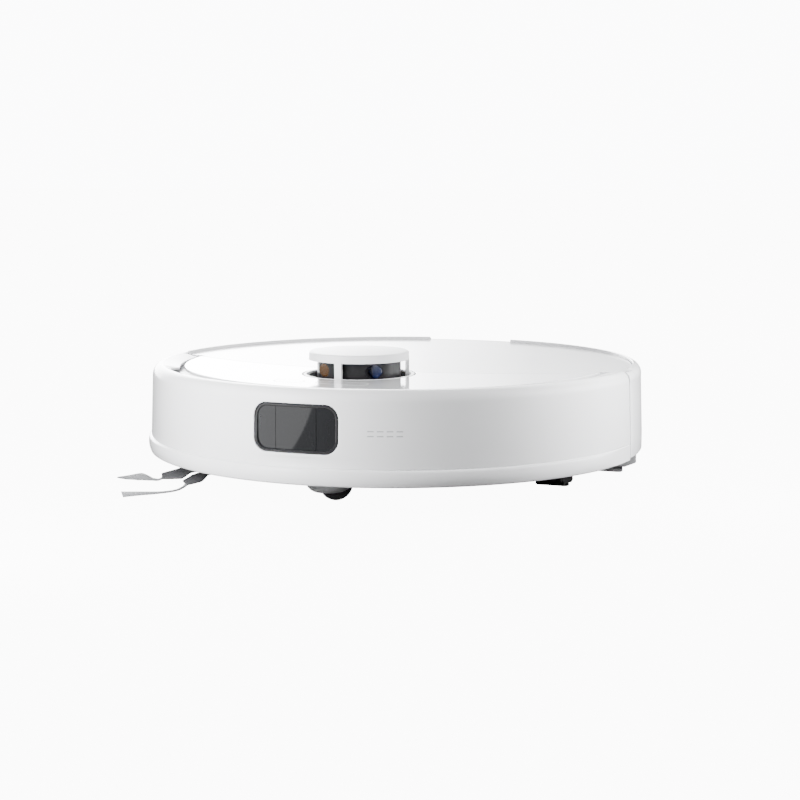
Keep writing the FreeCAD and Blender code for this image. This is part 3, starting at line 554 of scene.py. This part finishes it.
links.new(tones.outputs["Color"], paint.inputs["Base Color"])
glow = nodes.new("ShaderNodeEmission")
glow.inputs["Color"].default_value = (1.0, 1.0, 1.0, 1.0)
glow.inputs["Strength"].default_value = 11.0
both = nodes.new("ShaderNodeAddShader")
links.new(paint.outputs["BSDF"], both.inputs[0])
links.new(glow.outputs["Emission"], both.inputs[1])
seen = nodes.new("ShaderNodeLightPath")
pick = nodes.new("ShaderNodeMixShader")
links.new(seen.outputs["Is Camera Ray"], pick.inputs["Fac"])
links.new(paint.outputs["BSDF"], pick.inputs[1])
links.new(both.outputs["Shader"], pick.inputs[2])
links.new(pick.outputs["Shader"], nodes["Material Output"].inputs["Surface"])
bpy.ops.mesh.primitive_plane_add(size=40, location=(0, 0, 0))
floor = bpy.context.object
floor.name = "floor"
floor.data.materials.append(floor_paint)

world = bpy.data.worlds.new("studio")
bpy.context.scene.world = world
world.use_nodes = True
nodes = world.node_tree.nodes
links = world.node_tree.links
where = nodes.new("ShaderNodeTexCoord")
parts = nodes.new("ShaderNodeSeparateXYZ")
links.new(where.outputs["Generated"], parts.inputs["Vector"])
behind = nodes.new("ShaderNodeMapRange")
behind.interpolation_type = "SMOOTHSTEP"
behind.inputs["From Min"].default_value = 0.35
behind.inputs["From Max"].default_value = 0.85
links.new(parts.outputs["Y"], behind.inputs["Value"])
across = nodes.new("ShaderNodeMapRange")
across.inputs["From Min"].default_value = -0.46
across.inputs["From Max"].default_value = -0.18
links.new(parts.outputs["X"], across.inputs["Value"])
steps = nodes.new("ShaderNodeValToRGB")
steps.color_ramp.elements[0].color = (1.0, 1.0, 1.0, 1.0)
steps.color_ramp.elements[1].color = (0.05, 0.05, 0.05, 1.0)
for spot, tone in ((0.2, 0.9), (0.45, 0.34), (0.65, 0.16)):
    stop = steps.color_ramp.elements.new(spot)
    stop.color = (tone, tone, tone, 1.0)
links.new(across.outputs["Result"], steps.inputs["Fac"])
product = nodes.new("ShaderNodeMath")
product.operation = "MULTIPLY"
links.new(behind.outputs["Result"], product.inputs[0])
links.new(steps.outputs["Color"], product.inputs[1])
level = nodes.new("ShaderNodeMath")
level.operation = "MULTIPLY_ADD"
level.inputs[1].default_value = 24.0
level.inputs[2].default_value = 0.1
links.new(product.outputs["Value"], level.inputs[0])
seen = nodes.new("ShaderNodeLightPath")
backdrop = nodes.new("ShaderNodeMix")
backdrop.inputs["B"].default_value = 11.5
links.new(seen.outputs["Is Camera Ray"], backdrop.inputs["Factor"])
links.new(level.outputs["Value"], backdrop.inputs["A"])
links.new(backdrop.outputs["Result"], nodes["Background"].inputs["Strength"])
nodes["Background"].inputs["Color"].default_value = (0.98, 0.985, 1.0, 1.0)


def light(name, place, aim, wide, tall, power):
    """A rectangular lamp at place that faces aim."""
    lamp = bpy.data.lights.new(name, "AREA")
    lamp.shape = "RECTANGLE"
    lamp.size = wide
    lamp.size_y = tall
    lamp.energy = power
    thing = bpy.data.objects.new(name, lamp)
    thing.location = place
    thing.rotation_euler = (Vector(aim) - Vector(place)).to_track_quat("-Z", "Y").to_euler()
    bpy.context.scene.collection.objects.link(thing)
    return thing


near_left = light("near_left", (-0.15, -0.37, 0.14), (0, 0, 0.05), 0.15, 0.15, 3.5)
near_right = light("near_right", (0.305, -0.05, 0.14), (0, 0, 0.05), 0.15, 0.15, 1.6)
under_card = light("under_card", (0.01, -0.158, 0.003), (-0.004, -0.114, 0.014), 0.03, 0.01, 0.0024)
light("right_box", (1.56, 0.9, 0.6), (0, 0, 0.05), 0.9, 0.9, 12)
light("back_box", (0, 1.5, 1.4), (0, 0, 0.05), 2.6, 1.2, 45)
card = light("floor_card", (-0.418, -0.611, 0.001), (0, 0, 1), 0.5, 0.55, 1.9)
card.rotation_euler = (math.pi, 0, math.radians(-6.56))
card.visible_diffuse = False
for lamp in (near_left, near_right, under_card):
    lamp.visible_glossy = False
for lamp in (near_left, near_right, under_card, card):
    lamp.visible_camera = False

camera_data = bpy.data.cameras.new("camera")
camera_data.lens = 74.563
camera_data.sensor_width = 36
camera = bpy.data.objects.new("camera", camera_data)
bpy.context.scene.collection.objects.link(camera)
heading = math.radians(20.870)
pitch = math.radians(7.784)
roll = math.radians(-0.064)
ahead = Vector((-math.sin(heading) * math.cos(pitch), math.cos(heading) * math.cos(pitch), -math.sin(pitch)))
right = Vector((math.cos(heading), math.sin(heading), 0))
up = right.cross(ahead)
right_rolled = right * math.cos(roll) + up * math.sin(roll)
up_rolled = up * math.cos(roll) - right * math.sin(roll)
camera.matrix_world = Matrix((
    (right_rolled.x, up_rolled.x, -ahead.x, 0.41865),
    (right_rolled.y, up_rolled.y, -ahead.y, -1.09216),
    (right_rolled.z, up_rolled.z, -ahead.z, 0.21074),
    (0, 0, 0, 1),
))
bpy.context.scene.camera = camera
